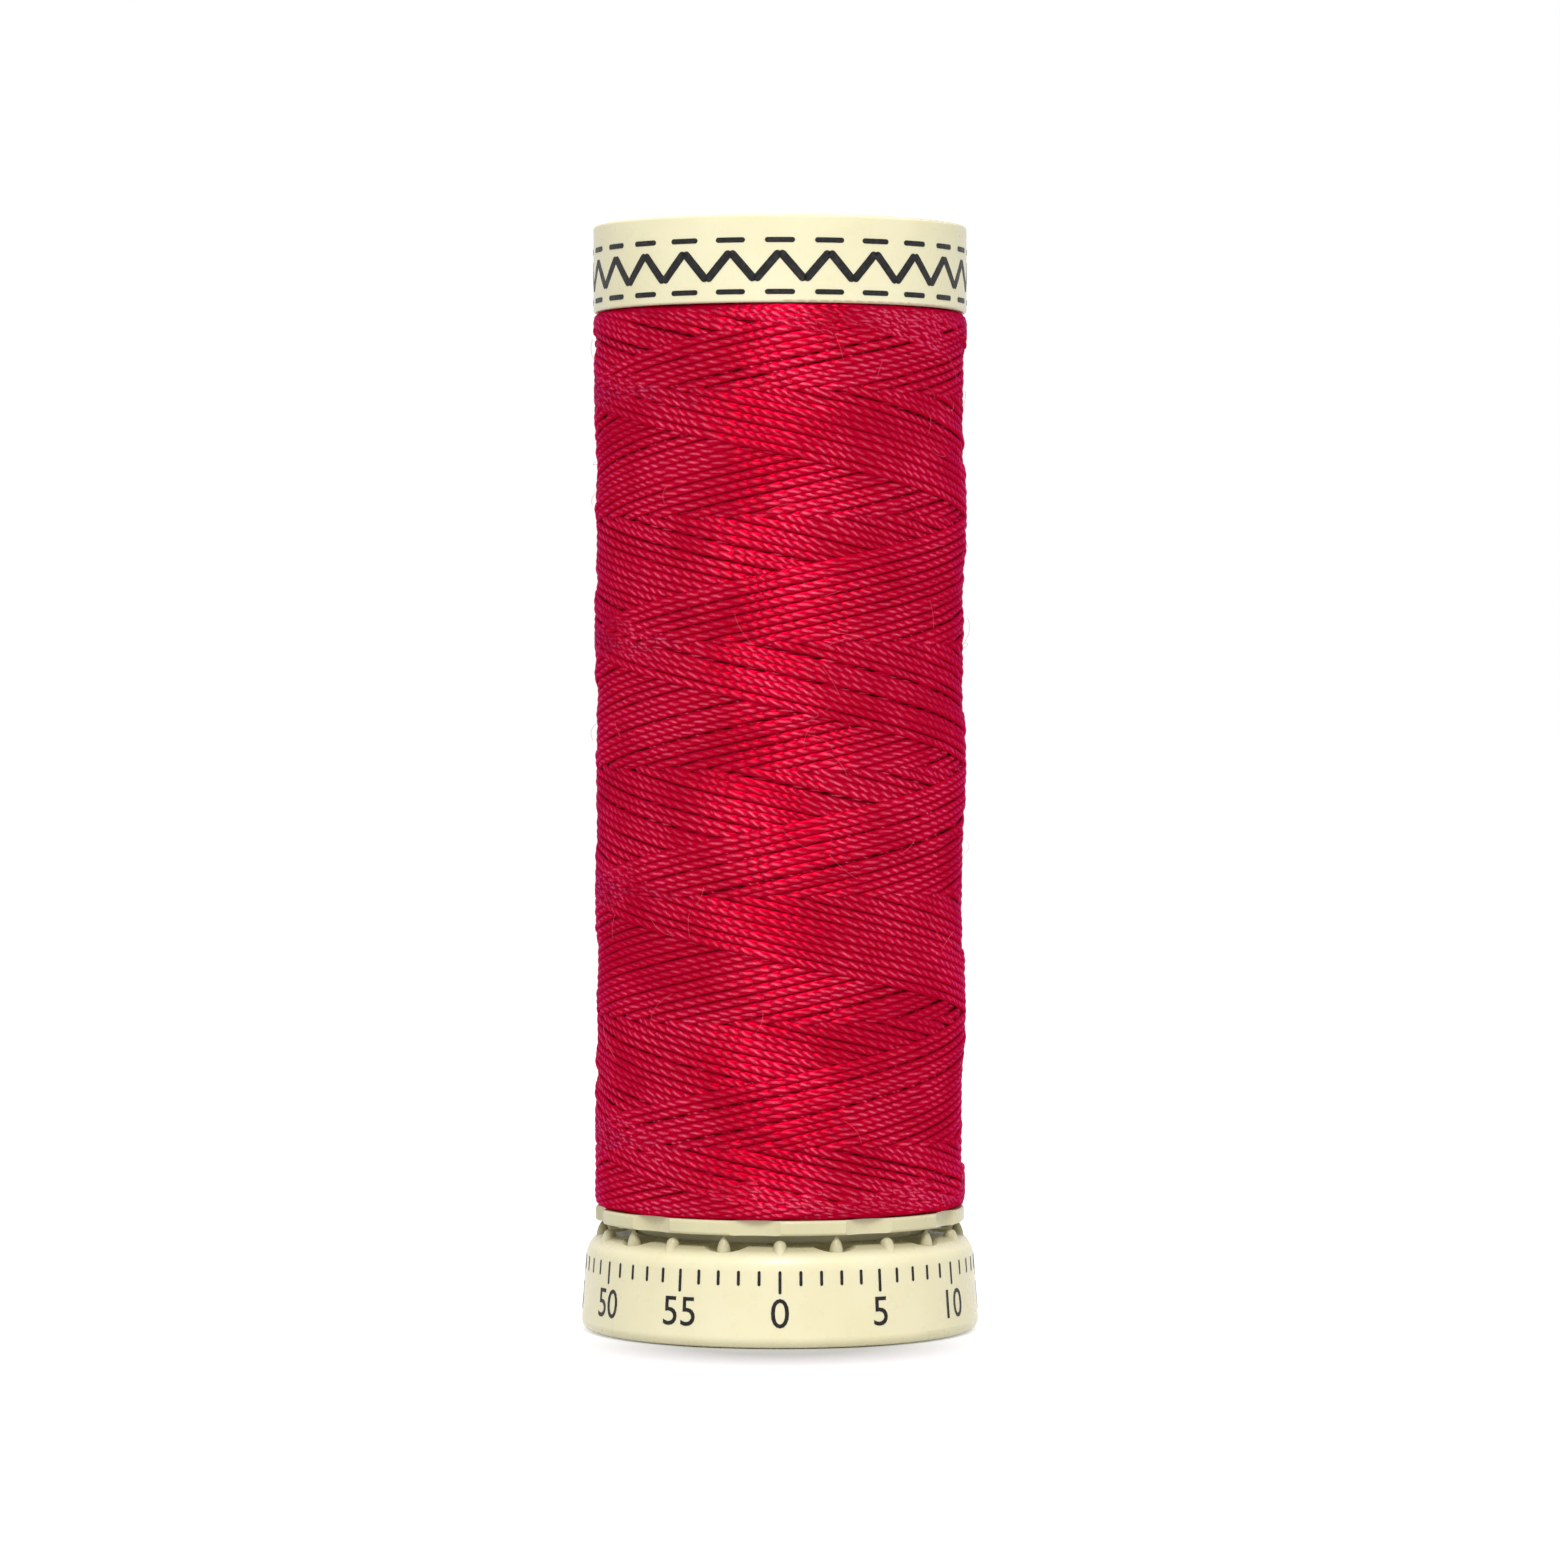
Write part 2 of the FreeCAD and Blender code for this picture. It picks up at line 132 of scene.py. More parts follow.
def lathe(name, outline, segments):
    """Closed ring turned from a closed outline of (radius, height) points."""
    angle = np.arange(segments) * TURN / segments
    outline = np.array(outline)
    count = len(outline)
    vertices = on_spool(outline[None, :, 0], angle[:, None], outline[None, :, 1]).reshape(-1, 3)
    step = np.arange(segments)[:, None]
    corner = np.arange(count)[None, :]
    after_step = (step + 1) % segments * count
    after_corner = (corner + 1) % count
    step = step * count
    faces = [step + corner, after_step + corner, after_step + after_corner, step + after_corner]
    return new_object(name, new_mesh(name, vertices, list(np.stack(faces, -1).reshape(-1, 4))))


# Materials

NOISE_LOW = 0.3  # most values of a noise lie between these two
NOISE_HIGH = 0.7
MIX_FIRST = 6  # a mix node's sockets for colours
MIX_SECOND = 7
MIX_RESULT = 2


class Nodes:
    """A material's node tree, with a few short ways to add nodes."""

    def __init__(self, name):
        self.material = bpy.data.materials.new(name)
        self.material.use_nodes = True
        self.tree = self.material.node_tree
        self.shader = self.tree.nodes["Principled BSDF"]

    def add(self, kind, **settings):
        node = self.tree.nodes.new(kind)
        for name, value in settings.items():
            setattr(node, name, value)
        return node

    def link(self, output, target):
        self.tree.links.new(output, target)

    def put(self, target, value):
        if isinstance(value, bpy.types.NodeSocket):
            self.link(value, target)
        else:
            target.default_value = value

    def math(self, operation, first, second=0.0, third=0.0):
        node = self.add("ShaderNodeMath", operation=operation)
        for socket, value in zip(node.inputs, (first, second, third)):
            self.put(socket, value)
        return node.outputs[0]

    def noise(self, vector, scale, detail=2.0, roughness=0.5):
        node = self.add("ShaderNodeTexNoise")
        self.put(node.inputs["Vector"], vector)
        node.inputs["Scale"].default_value = scale
        node.inputs["Detail"].default_value = detail
        node.inputs["Roughness"].default_value = roughness
        return node.outputs["Fac"]

    def span(self, value, low, high, to_low, to_high):
        """The range from low to high mapped to another one, which holds for values beyond it too."""
        node = self.add("ShaderNodeMapRange")
        node.inputs["From Min"].default_value = low
        node.inputs["From Max"].default_value = high
        node.inputs["To Min"].default_value = to_low
        node.inputs["To Max"].default_value = to_high
        self.put(node.inputs["Value"], value)
        return node.outputs["Result"]

    def spread(self, noise, to_low, to_high):
        """A noise stretched over a range."""
        return self.span(noise, NOISE_LOW, NOISE_HIGH, to_low, to_high)

    def blend(self, factor, first, second):
        node = self.add("ShaderNodeMix", data_type="RGBA")
        self.put(node.inputs["Factor"], factor)
        self.put(node.inputs[MIX_FIRST], first)
        self.put(node.inputs[MIX_SECOND], second)
        return node.outputs[MIX_RESULT]

    def from_axis(self, place):
        """Distance from the spool's axis."""
        flat = self.add("ShaderNodeVectorMath", operation="MULTIPLY")
        self.link(place, flat.inputs[0])
        flat.inputs[1].default_value = (1, 1, 0)
        length = self.add("ShaderNodeVectorMath", operation="LENGTH")
        self.link(flat.outputs[0], length.inputs[0])
        return length.outputs["Value"]

    def bump(self, height, distance, strength=1.0):
        node = self.add("ShaderNodeBump")
        node.inputs["Strength"].default_value = strength
        node.inputs["Distance"].default_value = distance
        self.put(node.inputs["Height"], height)
        self.link(node.outputs["Normal"], self.shader.inputs["Normal"])

    def set(self, **values):
        for name, value in values.items():
            self.put(self.shader.inputs[name.replace("_", " ")], value)


CREAM = (0.88, 0.83, 0.57, 1)
CREAM_DEEP = (0.84, 0.78, 0.51, 1)
FLANGE_CREAM = (0.74, 0.70, 0.45, 1)
FLANGE_CREAM_DEEP = (0.69, 0.64, 0.40, 1)
THREAD_RED = (0.50, 0.0012, 0.026, 1)
# slightly lighter red painted on the flanks and in the grooves, to lift the shade there
THREAD_RED_PAINTED_FILL = (0.53, 0.0004, 0.016, 1)
# darker red: painted shade in patches, and dimmer stretches along the thread
THREAD_RED_DIM = (0.39, 0.0002, 0.013, 1)
# pink: painted highlight on the yarn's crests, and also a tone of the loose fibres
THREAD_PINK = (0.98, 0.13, 0.23, 1)
# darker cream: painted shade on the foot's land under the flange
FLANGE_SHADE_CREAM = (0.46, 0.42, 0.26, 1)
PRINT_DARK = (0.012, 0.0115, 0.012, 1)
PRINT_WORN = (0.03, 0.029, 0.03, 1)
PAPER = (0.76, 0.75, 0.70, 1)
PAPER_DEEP = (0.71, 0.70, 0.64, 1)

CLOUD_SCALE = 260
CLOUD_RANGE = (0.35, 0.7, 0, 1)  # each range holds the two ends of a value and what it becomes there
GRAIN_SCALE = 1200
PLASTIC_ROUGHNESS = (0.26, 0.32)  # each roughness holds what it is at a noise's low and high end
RELIEF_SCALE = 2400
PLASTIC_RELIEF = 0.003 * MM
PLASTIC_GLOW = 0.6 * MM  # how far light wanders in the plastic
PLASTIC_GLOW_TINT = (1.0, 0.8, 0.5)
FLANGE_SHADE_START = 9.4 * MM  # distance from the axis up to which shade under the flange is painted on the foot's land
FLANGE_SHADE_END = 9.85 * MM
FLANGE_SHADE_LOW = 4.2 * MM  # the shade is painted only above this height, so the foot's underside isn't shaded
FLANGE_SHADE_HIGH = 4.5 * MM
FLANGE_SHADE_STRENGTH = 0.85


def plastic(name, colour, deep, paint_flange_shade=False):
    """Moulded plastic: nearly even colour and a fine grain. Shade under the flange can be painted on the
    foot's land.
    """
    nodes = Nodes(name)
    place = nodes.add("ShaderNodeTexCoord").outputs["Object"]
    clouds = nodes.noise(place, CLOUD_SCALE, detail=3)
    body = nodes.blend(nodes.span(clouds, *CLOUD_RANGE), colour, deep)
    if paint_flange_shade:
        # painted shade where the flange hangs over the foot's land
        painted_shade = nodes.span(nodes.from_axis(place), FLANGE_SHADE_START, FLANGE_SHADE_END, FLANGE_SHADE_STRENGTH, 0)
        split = nodes.add("ShaderNodeSeparateXYZ")
        nodes.link(place, split.inputs[0])
        painted_shade = nodes.math("MULTIPLY", painted_shade, nodes.span(split.outputs["Z"], FLANGE_SHADE_LOW, FLANGE_SHADE_HIGH, 0, 1))
        body = nodes.blend(painted_shade, body, FLANGE_SHADE_CREAM)
    nodes.set(Base_Color=body)
    nodes.set(Roughness=nodes.spread(nodes.noise(place, GRAIN_SCALE), *PLASTIC_ROUGHNESS))
    nodes.set(IOR=1.48, Specular_IOR_Level=0.3)
    nodes.set(Subsurface_Weight=0.12, Subsurface_Scale=PLASTIC_GLOW, Subsurface_Radius=PLASTIC_GLOW_TINT)
    nodes.bump(nodes.noise(place, RELIEF_SCALE), PLASTIC_RELIEF, strength=0.15)
    return nodes.material


INK_WEAR_SCALE = 4200
INK_WEAR_RANGE = (0.45, 0.75, 0, 1)
INK_GRAIN_SCALE = 3000
INK_ROUGHNESS = (0.38, 0.55)


def ink(name):
    """Dark print, worn in small spots."""
    nodes = Nodes(name)
    place = nodes.add("ShaderNodeTexCoord").outputs["Object"]
    wear = nodes.span(nodes.noise(place, INK_WEAR_SCALE), *INK_WEAR_RANGE)
    nodes.set(Base_Color=nodes.blend(wear, PRINT_DARK, PRINT_WORN))
    nodes.set(Roughness=nodes.spread(nodes.noise(place, INK_GRAIN_SCALE), *INK_ROUGHNESS))
    nodes.set(Specular_IOR_Level=0.2)
    return nodes.material


TWIST_DRIFT = 0.5  # range in which the twist runs ahead or lags, in turns
DRIFT_SCALE = 350
PLY_RADIUS = 0.5  # in half widths of the thread
PLY_SWING = 0.38  # how far a ply's middle goes to each side, in the same measure
THREAD_FLATNESS = 0.72  # height of the plain thread, in the same measure
PLY_RELIEF = 0.06 * MM
FIBRES_AROUND = 26
FIBRE_RUN = 3.0  # streaks of the fibres to a turn of the twist
FIBRE_HEIGHT = 0.12
SLOW_CHANGE = 0.23  # changes of tone along the thread to a turn of the twist
THREAD_GLOW = 0.6 * MM  # how far light wanders in the fibres
THREAD_GLOW_TINT = (1.0, 0.08, 0.16)
SHINE_TINT = (0.7, 0.0, 0.35, 1)
SHEEN_TINT = (0.4, 0.1, 1.0, 1)
PATCH_SCALE = 230  # the laid thread catches the light in patches, which are painted as shade and highlight
SILKINESS = 0.55  # share of the light that the fibres mirror in their own colour
YARN_ROUGHNESS = (0.3, 0.42)
FLANK_RANGE = (0.45, 0.95, 0.8, 0)  # by the distance from the thread's middle
GROOVE_RANGE = (-0.55, 0.2, 0, 0.2)  # by the height of the plies over the plain thread
DIM_PATCH_RANGE = (0.4, 0.6, 0.45, 0)
DIM_STRETCHES = (0.3, 0)  # at a noise's low and high end
# ranges of the pink highlight painted on the crests
PAINTED_HIGHLIGHT_CREST_RANGE = (0.05, 0.4, 1, 0)  # by the distance from the front ply's crest
PAINTED_HIGHLIGHT_LIFT_RANGE = (0.1, 0.45, 0.25, 1)  # by how far the front ply is lifted
PAINTED_HIGHLIGHT_FIBRE_RANGE = (0.38, 0.62, 0.1, 1.0)
PAINTED_HIGHLIGHT_PATCH_RANGE = (0.4, 0.6, 0.3, 1.1)


def yarn(name):
    """Two plies twisted together. The map named lay holds turns round the thread and turns of its twist."""
    nodes = Nodes(name)
    lay = nodes.add("ShaderNodeUVMap", uv_map="lay").outputs["UV"]
    split = nodes.add("ShaderNodeSeparateXYZ")
    nodes.link(lay, split.inputs[0])
    around, along = split.outputs["X"], split.outputs["Y"]
    place = nodes.add("ShaderNodeTexCoord").outputs["Object"]

    # The ply in front stands at the place called middle across the thread, the other one at its mirror place
    drift = nodes.spread(nodes.noise(place, DRIFT_SCALE, detail=1), -TWIST_DRIFT / 2, TWIST_DRIFT / 2)
    phase = nodes.math("MULTIPLY", nodes.math("ADD", along, drift), TURN)
    sine = nodes.math("SINE", phase)
    swing = nodes.math("MULTIPLY", nodes.math("COSINE", phase), nodes.math("SIGN", sine))
    middle = nodes.math("MULTIPLY", swing, PLY_SWING)
    lift = nodes.math("MULTIPLY", nodes.math("ABSOLUTE", sine), PLY_RADIUS)
    side = nodes.math("MULTIPLY", around, TURN)
    across = nodes.math("COSINE", side)

    def arch(distance):
        square = nodes.math("MULTIPLY", distance, distance)
        return nodes.math("SQRT", nodes.math("MAXIMUM", nodes.math("SUBTRACT", PLY_RADIUS**2, square), 0))

    off_crest = nodes.math("ABSOLUTE", nodes.math("SUBTRACT", across, middle))
    front = nodes.math("ADD", lift, arch(off_crest))
    back = nodes.math("SUBTRACT", arch(nodes.math("ADD", across, middle)), lift)
    plain = nodes.math("MULTIPLY", nodes.math("ABSOLUTE", nodes.math("SINE", side)), THREAD_FLATNESS)
    ply = nodes.math("SUBTRACT", nodes.math("MAXIMUM", front, back), plain)

    fibre_place = nodes.add("ShaderNodeCombineXYZ")
    turned = nodes.math("SUBTRACT", around, along)
    nodes.link(nodes.math("MULTIPLY", turned, FIBRES_AROUND), fibre_place.inputs["X"])
    nodes.link(nodes.math("MULTIPLY", along, FIBRE_RUN), fibre_place.inputs["Y"])
    fibres = nodes.noise(fibre_place.outputs[0], 1.0, roughness=0.6)
    stretch = nodes.add("ShaderNodeCombineXYZ")
    nodes.link(nodes.math("MULTIPLY", along, SLOW_CHANGE), stretch.inputs["X"])
    lengthwise = nodes.noise(stretch.outputs[0], 1.0, detail=1)

    # A lighter red painted on the flanks and in the groove between the plies against their shade, painted
    # shade in patches, dimmer stretches, and a painted pink highlight on the crests that is broken up by the
    # fibres
    patches = nodes.noise(place, PATCH_SCALE)
    flank = nodes.span(nodes.math("ABSOLUTE", across), *FLANK_RANGE)
    groove = nodes.span(ply, *GROOVE_RANGE)
    # painted fill light: the flanks and grooves get the lighter red
    body = nodes.blend(nodes.math("ADD", flank, groove), THREAD_RED_PAINTED_FILL, THREAD_RED)
    # painted shade in patches
    dim_patches = nodes.span(patches, *DIM_PATCH_RANGE)
    dim_stretches = nodes.spread(lengthwise, *DIM_STRETCHES)
    body = nodes.blend(nodes.math("ADD", dim_patches, dim_stretches), body, THREAD_RED_DIM)
    # painted pink highlight on the crests
    painted_highlight = nodes.span(off_crest, *PAINTED_HIGHLIGHT_CREST_RANGE)
    painted_highlight = nodes.math("MULTIPLY", painted_highlight, nodes.span(lift, *PAINTED_HIGHLIGHT_LIFT_RANGE))
    painted_highlight = nodes.math("MULTIPLY", painted_highlight, nodes.span(fibres, *PAINTED_HIGHLIGHT_FIBRE_RANGE))
    painted_highlight = nodes.math("MULTIPLY", painted_highlight, nodes.span(patches, *PAINTED_HIGHLIGHT_PATCH_RANGE))
    nodes.set(Base_Color=nodes.blend(painted_highlight, body, THREAD_PINK))
    nodes.set(Roughness=nodes.spread(fibres, *YARN_ROUGHNESS))
    nodes.set(Metallic=SILKINESS, Specular_IOR_Level=0.0, Specular_Tint=SHINE_TINT)
    nodes.set(Subsurface_Weight=0.7, Subsurface_Scale=THREAD_GLOW, Subsurface_Radius=THREAD_GLOW_TINT)
    nodes.set(Sheen_Weight=0.06, Sheen_Roughness=0.5, Sheen_Tint=SHEEN_TINT)
    tangent = nodes.add("ShaderNodeTangent", direction_type="UV_MAP", uv_map="lay")
    nodes.set(Anisotropic=0.6, Tangent=tangent.outputs[0])
    nodes.bump(nodes.math("MULTIPLY_ADD", fibres, FIBRE_HEIGHT, ply), PLY_RELIEF)
    return nodes.material


PAPER_FIBRE_SCALE = 3000
PAPER_ROUGHNESS = (0.45, 0.6)
PAPER_RELIEF = 0.01 * MM
SWATCH_MIDDLE = 6.4 * MM
SWATCH_HALF_WIDTH = 0.9 * MM
INNER_LINE = 4.8 * MM
OUTER_LINE = 8.0 * MM
LINE_HALF_WIDTH = 0.08 * MM


def paper(name):
    """Printed paper ring: a red swatch band between two thin dark rings."""
    nodes = Nodes(name)
    place = nodes.add("ShaderNodeTexCoord").outputs["Object"]
    radius = nodes.from_axis(place)

    def ring(middle, half_width):
        away = nodes.math("ABSOLUTE", nodes.math("SUBTRACT", radius, middle))
        return nodes.math("LESS_THAN", away, half_width)

    fibres = nodes.noise(place, PAPER_FIBRE_SCALE, detail=4, roughness=0.65)
    stock = nodes.blend(nodes.spread(fibres, 0, 1), PAPER, PAPER_DEEP)
    swatch = nodes.blend(ring(SWATCH_MIDDLE, SWATCH_HALF_WIDTH), stock, THREAD_RED)
    lines = nodes.math("MAXIMUM", ring(OUTER_LINE, LINE_HALF_WIDTH), ring(INNER_LINE, LINE_HALF_WIDTH))
    nodes.set(Base_Color=nodes.blend(lines, swatch, PRINT_DARK))
    nodes.set(Roughness=nodes.spread(fibres, *PAPER_ROUGHNESS), Specular_IOR_Level=0.2)
    nodes.bump(fibres, PAPER_RELIEF, strength=0.5)
    return nodes.material


def dress(node, material):
    """Give a modelled part its material."""
    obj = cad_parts[node]
    obj.data.materials.clear()
    obj.data.materials.append(material)


# Thread: a cross winding, laid turn by turn over a map of the surface below it

THREAD_HALF_WIDTH = 0.218 * MM
THREAD_HALF_HEIGHT = 0.104 * MM
THREAD_SINK = 0.074 * MM  # how far a thread presses into those below it
WIND_PITCH = 12.75 * MM  # rise or fall of the thread in a turn
THREAD_STEP = 0.43 * MM  # up the spool, between neighbours that run the same way
DOWNWARD_PLACE = 45.1 * MM  # where the newest falling thread passes the front
VIRTUAL_TOP = 54.5 * MM  # where the falling and rising lines would meet without a soft turn
DOUBLE_TRAVERSES = 35  # each goes down the spool and up again
BURIED_TRAVERSES = 5  # laid first and covered, so only their height counts
NEWEST_TRAVERSES = 8  # these lie on top, so they set the outer radius
END_SOFTNESS = 0.08 * MM
END_SPREAD = 0.08 * MM
END_SINK = 0.3 * MM  # where the thread turns back, it slips in along the end wall
END_SINK_REACH = 1.2 * MM
STRAY = 0.035 * MM  # how far a traverse as a whole lies off its place
WANDER = 0.045 * MM  # how far it snakes about that place
SLOWEST_WANDER = 0.2  # waves to a turn
FASTEST_WANDER = 0.5
SMOOTHING_SAMPLES = 60
LOOSE_RISE = 0.2  # how far a thread's middle may stand over the package's outline, in its half heights
TWIST_PITCH = 1.3 * MM
COLUMNS = 400  # of the map to a turn
ROWS_STEP = 0.05 * MM
BLUR_REACH = 5  # in columns
BLUR_WIDTH = 2.2
SIDES = 8
RING_STEP = 2  # columns from ring to ring of the tube
CORE_SEGMENTS = 96
WINDING_PIECES = 8
TOP_SWELL = 0.05 * MM
LOBE_SWELL = 0.03 * MM
CORNER = 0.3 * MM

WHOLE_TURNS = 8
TURNS_A_CYCLE = WHOLE_TURNS - THREAD_STEP / WIND_PITCH  # so each double traverse lies beside the last


def soft_floor(height, floor, softness):
    """Height that stays over a floor, and bends softly towards it."""
    above = height - floor
    return floor + (above + np.sqrt(above**2 + 4 * softness**2)) / 2


def thread_heights(samples):
    """Height and sink of the thread at each sample, COLUMNS samples a turn, oldest first."""
    turns = np.arange(samples) / COLUMNS
    cycle = np.floor(turns / TURNS_A_CYCLE).astype(int)
    part = turns - cycle * TURNS_A_CYCLE
    half = TURNS_A_CYCLE / 2
    falling = part < half
    height = VIRTUAL_TOP - WIND_PITCH * np.where(falling, part, TURNS_A_CYCLE - part)
    count = cycle.max() + 2
    stray = RANDOM.normal(0, STRAY, count)
    wander = RANDOM.uniform(0, TURN, count)
    rate = RANDOM.uniform(SLOWEST_WANDER, FASTEST_WANDER, count)
    height = height + stray[cycle] + WANDER * np.sin(TURN * rate[cycle] * part + wander[cycle])
    low_ends = PACK_BOTTOM + THREAD_HALF_WIDTH + np.abs(RANDOM.normal(0, END_SPREAD, count))
    high_ends = PACK_TOP - THREAD_HALF_WIDTH - np.abs(RANDOM.normal(0, END_SPREAD, count))
    top = high_ends[cycle + ~falling]
    beyond = np.maximum(low_ends[cycle] - height, height - top)
    sink = END_SINK * np.clip(beyond / END_SINK_REACH, 0, 1)
    height = soft_floor(height, low_ends[cycle], END_SOFTNESS)
    height = -soft_floor(-height, -top, END_SOFTNESS)
    kernel = np.hanning(SMOOTHING_SAMPLES + 1)
    kernel /= kernel.sum()
    padded = [np.pad(line, SMOOTHING_SAMPLES // 2, mode="edge") for line in (height, sink)]
    return [np.convolve(line, kernel, "valid") for line in padded]


def pack_inner_radius():
    """Radius of the barrel's tube, where the thread pack starts."""
    places = np.array([v.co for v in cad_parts["thread_pack"].data.vertices])
    return float(np.hypot(places[:, 0], places[:, 1]).min())


def pack_profile(height):
    """Radius of the wound package at a height: slightly swollen, with rounded ends."""
    share = (height - PACK_BOTTOM) / (PACK_TOP - PACK_BOTTOM)
    body = PACK_RADIUS + TOP_SWELL * share**2 + LOBE_SWELL * np.sin(TURN * height / WIND_PITCH)
    end = np.clip(np.minimum(height - PACK_BOTTOM, PACK_TOP - height), 0, CORNER)
    return body - CORNER + np.sqrt(CORNER**2 - (CORNER - end) ** 2)


def lay_thread(heights):
    """Level of the thread's middle over the core at each sample, from a map of the surface laid so far."""
    rows = int((PACK_TOP - PACK_BOTTOM) / ROWS_STEP) + 2
    surface = np.zeros((COLUMNS, rows))
    reach = int(THREAD_HALF_WIDTH / ROWS_STEP) + 1
    offsets = np.arange(-reach, reach + 1)
    blur = np.exp(-0.5 * (np.arange(-BLUR_REACH, BLUR_REACH + 1) / BLUR_WIDTH) ** 2)
    blur /= blur.sum()
    levels = np.zeros(len(heights))
    for begin in range(0, len(heights), COLUMNS):
        first = max(begin - BLUR_REACH, 0)
        last = min(begin + COLUMNS + BLUR_REACH, len(heights))
        index = np.arange(first, last)
        place = (heights[index] - PACK_BOTTOM) / ROWS_STEP
        row = np.round(place).astype(int)[:, None] + offsets
        aside = (row - place[:, None]) * ROWS_STEP / THREAD_HALF_WIDTH
        row = np.clip(row, 0, rows - 1)
        arch = np.where(np.abs(aside) < 1, THREAD_HALF_HEIGHT * np.sqrt(np.clip(1 - aside**2, 0, 1)), -1.0)
        column = (index % COLUMNS)[:, None]
        level = (surface[column, row] + arch).max(1) - THREAD_SINK
        level = np.convolve(np.pad(level, BLUR_REACH, mode="edge"), blur, "valid")
        inner = slice(begin - first, begin - first + min(COLUMNS, len(heights) - begin))
        levels[begin:begin + COLUMNS] = level[inner]
        top = np.maximum(surface[column[inner], row[inner]], level[inner, None] + arch[inner])
        surface[column[inner], row[inner]] = top
    return levels


def tube_faces(rings, sides):
    """Faces of a closed tube whose points are numbered ring by ring."""
    ring = np.arange(rings - 1)[:, None] * sides
    side = np.arange(sides)[None, :]
    after = (side + 1) % sides
    next_ring = ring + sides
    quads = np.stack([ring + side, ring + after, next_ring + after, next_ring + side], -1).reshape(-1, 4)
    return list(quads) + [np.arange(sides)[::-1], np.arange(sides) + (rings - 1) * sides]


def tube_points(points, outwards, sides, half_width, half_height):
    """Points of a tube, ring by ring. The height of its section lies along the outward directions."""
    along = np.gradient(points, axis=0)
    along /= np.linalg.norm(along, axis=1, keepdims=True)
    across = np.cross(outwards, along)
    across /= np.linalg.norm(across, axis=1, keepdims=True)
    outwards = np.cross(along, across)
    angle = np.arange(sides) * TURN / sides
    section = (
        across[:, None] * (half_width * np.cos(angle))[:, None]
        + outwards[:, None] * (half_height * np.sin(angle))[:, None]
    )
    return (points[:, None] + section).reshape(-1, 3)


def thread_tube(name, points, outwards, lengths, material):
    """Closed tube of thread, whose map tells the turns round it and the turns of its twist."""
    vertices = tube_points(points, outwards, SIDES, THREAD_HALF_WIDTH, THREAD_HALF_HEIGHT)
    mesh = new_mesh(name, vertices, tube_faces(len(points), SIDES))
    side = np.arange(SIDES)[None, :] + np.zeros((len(points) - 1, 1))
    turn_around = np.stack([side, side + 1, side + 1, side], -1) / SIDES
    twist = lengths / TWIST_PITCH
    turn_along = np.stack([twist[:-1], twist[:-1], twist[1:], twist[1:]], -1)[:, None].repeat(SIDES, 1)
    lay = np.stack([turn_around, turn_along], -1).reshape(-1, 2)
    ends = np.zeros((2 * SIDES, 2))
    layer = mesh.uv_layers.new(name="lay")
    layer.data.foreach_set("uv", np.concatenate([lay, ends]).astype(np.float32).ravel())
    mesh.materials.append(material)
    return new_object(name, mesh)


def samples_in(traverses):
    """Samples of the thread in a number of double traverses."""
    return int(traverses * TURNS_A_CYCLE * COLUMNS)


def make_winding(material):
    """The outer layers of the thread in pieces, and the core below them."""
    samples = samples_in(DOUBLE_TRAVERSES)
    heights, sink = thread_heights(samples)
    levels = lay_thread(heights)
    outer_level = np.median(levels[-samples_in(NEWEST_TRAVERSES):])
    radius = pack_profile(heights) - outer_level + levels
    radius = np.minimum(radius, pack_profile(heights) + THREAD_HALF_HEIGHT * LOOSE_RISE) - sink
    last_start = (DOUBLE_TRAVERSES - 1) * TURNS_A_CYCLE
    start_angle = TURN * ((DOWNWARD_PLACE - VIRTUAL_TOP) / WIND_PITCH - last_start)
    angle = start_angle + TURN * np.arange(samples) / COLUMNS
    points = on_spool(radius, angle, heights)
    outwards = on_spool(1.0, angle, 0.0)
    steps = np.linalg.norm(np.diff(points, axis=0), axis=1)
    lengths = np.concatenate([[0], np.cumsum(steps)])
    kept = np.arange(samples_in(BURIED_TRAVERSES), samples, RING_STEP)
    bounds = np.linspace(0, len(kept) - 1, WINDING_PIECES + 1).astype(int)
    for number, (begin, end) in enumerate(zip(bounds[:-1], bounds[1:]), 1):
        part = kept[begin:end + 1]
        piece = thread_tube(f"winding_{number}", points[part], outwards[part], lengths[part], material)
        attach(piece, "spool")
        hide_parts("thread_turns")
    make_core(PACK_RADIUS - outer_level, material)


def make_core(radius, material):
    """The inner layers, seen only as a shade between the outer threads."""
    inner = pack_inner_radius()
    outline = [
        (inner, PACK_BOTTOM),
        (radius - CORNER, PACK_BOTTOM),
        (radius, PACK_BOTTOM + CORNER),
        (radius, PACK_TOP - CORNER),
        (radius - CORNER, PACK_TOP),
        (inner, PACK_TOP),
    ]
    obj = lathe("winding_core", outline, CORE_SEGMENTS)
    obj.data.materials.append(material)
    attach(obj, "spool")
    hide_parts("thread_pack")


# Loose fibres that stand off the thread

FUZZ_FIBRES = 90
FUZZ_RADIUS = 0.008 * MM
FUZZ_SIDES = 5
FUZZ_RINGS = 10
SHORTEST_FUZZ = 0.8  # lengths and lifts are in millimetres
LONGEST_FUZZ = 2.4
LEAST_LIFT = 0.08
MOST_LIFT = 0.4
MOST_BEND = 1.2
LIFT_SWEEP = 2.4  # angle of the arch in which a fibre rises and begins to come down
FUZZ_END_MARGIN = 2 * MM
FLUFF_TONE_SCALE = 1500
FLUFF_GRAIN_SCALE = 3000
FLUFF_ROUGHNESS = (0.4, 0.6)


